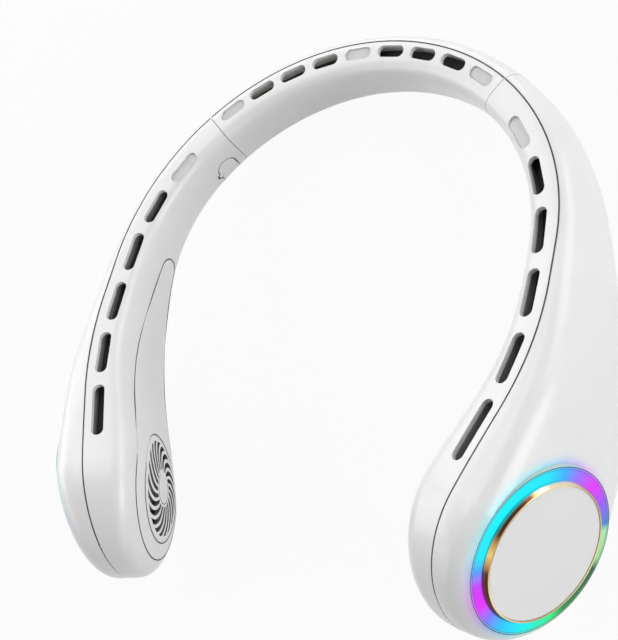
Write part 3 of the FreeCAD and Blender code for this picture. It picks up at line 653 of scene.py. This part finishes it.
class BandStation:
    # the band at length s from the nape's middle: n outward, u towards the rim, t away from the nape
    def __init__(self, s, lean=0, side=1):
        self.side = side if s >= 0 else -side
        s = abs(s)
        point, out = self.middleLine(s)
        share = max(s - hingeLength, 0) / (podLength - hingeLength)
        grown = {key: eased(share, bandLine[key]) for key in ("innerEase", "outerEase", "depthEase")}
        roll = bandLine["roll"]
        turn = lean * bandLine["podLean"] * grown["innerEase"]
        innerRoll = max(-lean, 0) * bandLine["podRoll"] * grown["innerEase"]
        rise = Vector((0, 0, 1))
        across = out * math.cos(roll) + rise * math.sin(roll)
        along = Vector((out.y, -out.x, 0))
        up = rise * math.cos(roll) - out * math.sin(roll)
        outward = across * math.cos(turn) + along * math.sin(turn)
        self.n = outward * math.cos(innerRoll) + up * math.sin(innerRoll)
        self.u = up * math.cos(innerRoll) - outward * math.sin(innerRoll)
        self.t = along * math.cos(turn) - across * math.sin(turn)
        self.inner = partWay(bandLine["inner"], grown["innerEase"])
        self.outer = partWay(bandLine["outer"], grown["outerEase"])
        self.half = partWay(bandLine["half"], grown["depthEase"])
        self.power = partWay(bandLine["outerPower"], grown["outerEase"])
        lift = bandLine["podRise"] * grown["innerEase"] - self.half
        self.origin = point + up * lift + (across - self.n) * bandLine["seamOut"]

    def middleLine(self, s):
        radius = bandLine["archRadius"]
        if s <= radius * math.pi / 2:
            out = Vector((math.sin(s / radius), math.cos(s / radius), 0))
            return out * radius, out
        if s <= bendStart:
            return Vector((radius, radius * math.pi / 2 - s, 0)), Vector((1, 0, 0))
        turn = -min(s - bendStart, bendLength) / bandLine["bendRadius"]
        out = Vector((math.cos(turn), math.sin(turn), 0))
        centre = Vector((radius - bandLine["bendRadius"], -bandLine["armRun"], 0))
        along = Vector((out.y, -out.x, 0))
        return centre + out * bandLine["bendRadius"] + along * max(s - bendStart - bendLength, 0), out

    def rim(self, n):
        reach, power = (self.outer, self.power) if n >= 0 else (self.inner, bandLine["innerPower"])
        return self.half * (1 - (abs(n) / reach) ** power) ** (1 / power)

    def innerFace(self, u):
        power = bandLine["innerPower"]
        return -self.inner * (1 - (abs(u) / self.half) ** power) ** (1 / power)

    def at(self, n, u, t=0.0):
        # a place on the part as it lies on the floor
        p = self.origin + self.n * n + self.u * u + self.t * t
        p = Matrix.Rotation(-bandLine["restTilt"], 3, "X") @ p + Vector(bandLine["restShift"])
        return Vector((p.x * self.side, p.y, p.z))


def newPiece(name, points, faces, finishes):
    mesh = bpy.data.meshes.new(name)
    mesh.from_pydata(points, [], faces)
    for finish in finishes:
        mesh.materials.append(finish)
    piece = bpy.data.objects.new(name, mesh)
    scene.collection.objects.link(piece)
    return piece


def bandPiece(name, body, rows, finishes, skin, closed=False):
    # strips of faces through rows of points, each with its finish, and a thickness
    wide = len(rows[0])
    faces = []
    for i in range(len(rows) if closed else len(rows) - 1):
        j = (i + 1) % len(rows)
        for k in range(wide - 1):
            faces.append((i * wide + k, i * wide + k + 1, j * wide + k + 1, j * wide + k))
    piece = newPiece(name, [p for row in rows for p in row], faces, finishes)
    for i, face in enumerate(piece.data.polygons):
        face.material_index = i % (wide - 1)
    thickness = piece.modifiers.new("skin", "SOLIDIFY")
    thickness.thickness = skin
    thickness.offset = 0
    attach(piece, body)


# air duct under the open slots: grey walls beside them and a dark floor; the dark floor and the arms'
# darker walls are painted shade
airDuct = {
    "top": 0.0016,
    "floor": 0.0055,
    "width": 0.0051,
    "napeOut": 0.0010,
    "armOut": (-0.0021, 0.0),               # middle line at the first slot and at the last
    "armSlots": (0.0208, 0.1263),           # lengths of these two from the hinge
    "skin": 0.0003,
    "steps": 60,
    "napeReach": 0.0485,
    "armEnds": (0.0305, 0.1385),
    # light tone, dark tone
    "napeWall": ((0.74, 0.73, 0.70, 1.0), (0.64, 0.63, 0.60, 1.0)),
    # the arms' walls darker than the nape's, and the bottom near black: painted shade
    "shadedArmWall": ((0.26, 0.255, 0.25, 1.0), (0.21, 0.205, 0.20, 1.0)),
    "bottom": ((0.020, 0.020, 0.021, 1.0), (0.012, 0.012, 0.013, 1.0)),
    "wallRoughness": 0.6,
    "bottomRoughness": 0.75,
    "grainScale": 900.0,
    "grainDepth": 0.0002,
}


def ductFinish(name, tones, roughness):
    return plainGrain(name, *tones, roughness, airDuct["grainScale"], depth=airDuct["grainDepth"])


def ductRow(s, side, middle):
    station = BandStation(s, 0, side)
    edges = [middle - airDuct["width"] / 2, middle + airDuct["width"] / 2]
    places = [(edges[0], "top"), (edges[0], "floor"), (edges[1], "floor"), (edges[1], "top")]
    return [station.at(n, station.rim(n) - airDuct[depth]) for n, depth in places]


def armDuctRow(s, side):
    first, last = airDuct["armSlots"]
    return ductRow(hingeLength + s, side, partWay(airDuct["armOut"], (s - first) / (last - first)))


napeWall = ductFinish("ductWall", airDuct["napeWall"], airDuct["wallRoughness"])
shadedArmWall = ductFinish("armDuctShadeWall", airDuct["shadedArmWall"], airDuct["wallRoughness"])
# near-black duct floor: painted shade
ductShadeFloor = ductFinish("ductShadeFloor", airDuct["bottom"], airDuct["bottomRoughness"])
lengths = spread(-airDuct["napeReach"], airDuct["napeReach"], airDuct["steps"])
rows = [ductRow(s, 1, airDuct["napeOut"]) for s in lengths]
bandPiece("napeDuct", "nape", rows, [napeWall, ductShadeFloor, napeWall], airDuct["skin"])
armLook = [shadedArmWall, ductShadeFloor, shadedArmWall]
for sideName, side in sides:
    rows = [armDuctRow(s, side) for s in spread(*airDuct["armEnds"], airDuct["steps"])]
    bandPiece(sideName + "ArmDuct", sideName + "_arm", rows, armLook, airDuct["skin"])
print("air ducts made")

# dark strips in the seams: painted shade of the gaps between parts
seamStrip = {
    "proud": 0.00008,
    "depth": 0.0012,
    "outerSkin": 0.00048,
    "panelSkin": 0.00045,
    "armSteps": 70,
    "podSteps": 48,
    "endGap": 0.0004,
    "light": (0.045, 0.045, 0.047, 1.0),
    "dark": (0.025, 0.025, 0.027, 1.0),
    "roughness": 0.75,
    "grainScale": 2400.0,
}
seamShadeLook = [seamStrip[key] for key in ("light", "dark", "roughness", "grainScale")]
# near-black finish of the seam strips: painted shade
seamShade = [plainGrain("seamShadeStrip", *seamShadeLook)]


def outerSeamRow(station, turn):
    # turn 0 is the rim side and pi the lower side
    n = bandLine["seamOut"]
    edge = station.rim(n) + seamStrip["proud"]
    radii = (edge, edge - seamStrip["depth"])
    return [station.at(n, r * math.cos(turn), r * math.sin(turn)) for r in radii]


for sideName, side in sides:
    lengths = spread(hingeLength + seamStrip["endGap"], podLength, seamStrip["armSteps"])
    pod = BandStation(podLength, 0, side)
    rows = [outerSeamRow(BandStation(s, 0, side), 0) for s in lengths]
    rows += [outerSeamRow(pod, turn) for turn in spread(0, math.pi, seamStrip["podSteps"])[1:-1]]
    rows += [outerSeamRow(BandStation(s, 0, side), math.pi) for s in reversed(lengths)]
    bandPiece(sideName + "ArmGasket", sideName + "_arm", rows, seamShade, seamStrip["outerSkin"])
napeEnd = hingeLength - seamStrip["endGap"]
for name, turn in (("napeUpperSeamShade", 0), ("napeLowerSeamShade", math.pi)):
    rows = [outerSeamRow(BandStation(s), turn) for s in spread(-napeEnd, napeEnd, seamStrip["armSteps"])]
    bandPiece(name, "nape", rows, seamShade, seamStrip["outerSkin"])

# outline of the inner cover panel and of its grille
innerPanel = {
    "start": 0.060,
    "margin": (0.0090, 0.0060),             # from the band's edge, at the panel's start and at the pod
    "drop": 0.004,
    "grilleRadius": 0.019625,
    "seatSteps": 6,
}


def panelEdges(station, startHalf):
    # middle and half width of the panel
    grown = (station.half - startHalf) / (bandLine["half"][1] - startHalf)
    return -innerPanel["drop"] * (1 - grown), station.half - partWay(innerPanel["margin"], grown)


def faceRow(station, u, t=0.0, radius=None):
    n = station.innerFace(u if radius is None else radius)
    return [station.at(n + d, u, t) for d in (-seamStrip["proud"], seamStrip["depth"])]


def grilleRow(turn, side):
    # round the grille; on the band's side of the pod the face is the band's own
    pod = BandStation(podLength, -1, side)
    r = innerPanel["grilleRadius"]
    u, t = r * math.cos(turn), r * math.sin(turn)
    if t >= 0:
        return faceRow(pod, u, t, r)
    aim = pod.at(0, u, t)
    upward = pod.at(0, 1, 0) - pod.at(0, 0, 0)
    forward = pod.at(0, 0, 1) - pod.at(0, 0, 0)
    s = podLength + t
    for step in range(innerPanel["seatSteps"]):
        station = BandStation(s, -1, side)
        miss = station.at(station.innerFace(u), u) - aim
        u -= miss.dot(upward)
        s -= miss.dot(forward)
    return faceRow(BandStation(s, -1, side), u)


def panelRows(side):
    first = hingeLength + innerPanel["start"]
    startHalf = BandStation(first).half
    stations = [BandStation(s, -1, side) for s in spread(first, podLength, seamStrip["armSteps"])]
    pod = stations[-1]
    upper, lower = [], []
    for station in stations:
        middle, width = panelEdges(station, startHalf)
        upper.append(faceRow(station, middle + width))
        lower.append(faceRow(station, middle - width))
    rows = upper[:-1]
    podWidth = panelEdges(pod, startHalf)[1]
    for turn in spread(0, math.pi, seamStrip["podSteps"]):
        rows.append(faceRow(pod, podWidth * math.cos(turn), podWidth * math.sin(turn), podWidth))
    rows += lower[-2::-1]
    middle, width = panelEdges(stations[0], startHalf)
    for turn in spread(0, math.pi, seamStrip["podSteps"])[1:-1]:
        station = BandStation(first - width * math.sin(turn), -1, side)
        rows.append(faceRow(station, middle - width * math.cos(turn)))
    return rows


for sideName, side in sides:
    arm = sideName + "_arm"
    # dark strips round the panel and the grille: painted shade of their gaps
    bandPiece(sideName + "PanelGasket", arm, panelRows(side), seamShade, seamStrip["panelSkin"], True)
    rows = [grilleRow(turn, side) for turn in spread(0, math.tau, 2 * seamStrip["podSteps"])[:-1]]
    bandPiece(sideName + "GrilleGasket", arm, rows, seamShade, seamStrip["panelSkin"], True)

# thin dark strip round the charging flap, painted shade of its gap, open at its pivot
flapSeam = {
    "place": 0.0084,
    "half": 0.00419,
    "tipMiddle": -0.0020,
    "nubMiddle": -0.0035,
    "nubRadius": 0.00139,
    "bottom": -0.0078,
    "faceRadius": 0.0735,
    "skin": 0.00016,
    "steps": 10,
    "arcSteps": 24,
}


def flapPlaces():
    half, middle, steps = flapSeam["half"], flapSeam["tipMiddle"], flapSeam["steps"]
    nub, nubMiddle = flapSeam["nubRadius"], flapSeam["nubMiddle"]
    places = [(u, -half) for u in spread(flapSeam["bottom"], middle, steps)[:-1]]
    for turn in spread(-math.pi / 2, math.pi / 2, flapSeam["arcSteps"]):
        places.append((middle + half * math.cos(turn), half * math.sin(turn)))
    for turn in spread(0, math.pi, flapSeam["arcSteps"]):
        places.append((nubMiddle + nub * math.cos(turn), half + nub * math.sin(turn)))
    return places + [(u, half) for u in spread(places[-1][0], flapSeam["bottom"], steps)[1:]]


def flapRow(u, t):
    turn = math.atan(t / flapSeam["faceRadius"])
    s = hingeLength + flapSeam["place"] + bandLine["archRadius"] * turn
    return faceRow(BandStation(s, -1, -1), u)


rows = [flapRow(u, t) for u, t in flapPlaces()]
bandPiece("flapSeamShade", "left_arm", rows, seamShade, flapSeam["skin"])
print("seam shadeStrips made")

# grey pads in the blind slots: painted shade on the floor of each blind recess
blindPad = {
    "depth": 0.0009,
    "lift": 0.00002,
    "thick": 0.00022,
    "napePlaces": (-0.0544, 0.0, 0.0544),
    "napeOut": 0.0010,
    "napeLength": 0.0108,
    "armPlace": 0.0208,
    "armOut": -0.0021,
    "armLength": 0.01359,
    "width": 0.0044,
    "spare": 0.00012,
    "edge": 0.00018,
    "arcSteps": 14,
    "light": grey(0.60),
    "dark": grey(0.55),
    "roughness": 0.42,
    "grainScale": 2200.0,
}
# grey of the pads: painted shade of the blind recesses
padShadeLook = [blindPad[key] for key in ("light", "dark", "roughness", "grainScale")]
padShadeFinish = plainGrain("padShadeGrey", *padShadeLook)


def padOutline(length, width):
    r = width / 2
    h = length / 2 - r
    half = [(r * math.cos(a), h + r * math.sin(a)) for a in spread(0, math.pi, blindPad["arcSteps"])]
    return half + [(-n, -t) for n, t in half]


def padPiece(name, body, s, out, length, side=1):
    station = BandStation(s, 0, side)
    low = station.rim(out) - blindPad["depth"]
    thick, edge, spare = blindPad["thick"], blindPad["edge"], 2 * blindPad["spare"]
    layers = [(spare, blindPad["lift"]), (spare, thick - edge), (spare + 2 * edge, thick)]
    rings = []
    for cut, up in layers:
        outline = padOutline(length - cut, blindPad["width"] - cut)
        rings.append([station.at(out + n, low + up, t) for n, t in outline])
    count = len(rings[0])
    last = len(rings) - 1
    faces = [tuple(range(count))[::-1], tuple(range(last * count, (last + 1) * count))]
    for k in range(last):
        for i in range(count):
            j = (i + 1) % count
            faces.append((k * count + i, k * count + j, (k + 1) * count + j, (k + 1) * count + i))
    piece = newPiece(name, [p for ring in rings for p in ring], faces, [padShadeFinish])
    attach(piece, body)


for i, s in enumerate(blindPad["napePlaces"]):
    padPiece("napePad." + str(i + 1), "nape", s, blindPad["napeOut"], blindPad["napeLength"])
for sideName, side in sides:
    s = hingeLength + blindPad["armPlace"]
    padPiece(sideName + "ArmPad", sideName + "_arm", s, blindPad["armOut"], blindPad["armLength"], side)
print("blind slot pads made")

# floor and light
studio = {
    "floorTone": grey(0.56),
    "floorWhite": 0.94,
    "floorReach": 6.0,
    "floorDrop": 0.0003,
    "skyTone": grey(1.0),
    "skyStrength": 0.08,
    "whiteStrength": 1.0,
    "aim": (0.0, 0.0, 0.03),
    "lampSize": 0.6,
    "lamps": [
        # name, place, watts
        ("leftLamp", (-0.90, 0.05, 0.48), 3.4),
        ("rightLamp", (0.95, -0.10, 0.38), 4.8),
        ("backLeftLamp", (-0.65, 0.65, 0.43), 3.3),
        ("backRightLamp", (0.65, 0.65, 0.43), 3.1),
        ("frontLeftLamp", (-0.75, -0.55, 0.60), 1.8),
        ("frontRightLamp", (0.50, -0.85, 0.33), 1.6),
        ("lowBackLamp", (-0.15, 1.0, 0.10), 2.4),
        ("topLamp", (-0.25, 0.35, 0.92), 2.3),
    ],
}


def floorFinish():
    finish = newFinish("floorPale")
    glow = {"Color": studio["skyTone"], "Strength": studio["whiteStrength"]}
    matt = finish.add("ShaderNodeBsdfDiffuse", None, {"Color": studio["floorTone"]})
    white = finish.add("ShaderNodeEmission", None, glow)
    share = finish.seenWhite() * studio["floorWhite"]
    return finish.show(finish.add("ShaderNodeMixShader", None, {0: share, 1: matt, 2: white}))


def skyLight():
    sky = Finish(bpy.data.worlds.new("studioSky"))
    shaders = []
    for strength in (studio["skyStrength"], studio["whiteStrength"]):
        light = {"Color": studio["skyTone"], "Strength": strength}
        shaders.append(sky.add("ShaderNodeBackground", None, light))
    mixed = sky.add("ShaderNodeMixShader", None, {0: sky.seenWhite(), 1: shaders[0], 2: shaders[1]})
    return sky.show(mixed, "ShaderNodeOutputWorld")


reach = studio["floorReach"]
corners = [(-reach, -reach, 0), (reach, -reach, 0), (reach, reach, 0), (-reach, reach, 0)]
floorSheet = newPiece("floorSheet", corners, [(0, 1, 2, 3)], [floorFinish()])
floorSheet.location = (0, 0, -studio["floorDrop"])
scene.world = skyLight()
for name, place, watts in studio["lamps"]:
    lampData = bpy.data.lights.new(name, "AREA")
    lampData.size = studio["lampSize"]
    lampData.energy = watts
    lamp = bpy.data.objects.new(name, lampData)
    lamp.location = place
    lamp.rotation_euler = (Vector(studio["aim"]) - Vector(place)).to_track_quat("-Z", "Y").to_euler()
    scene.collection.objects.link(lamp)
print("studio ready")

bpy.context.view_layer.update()
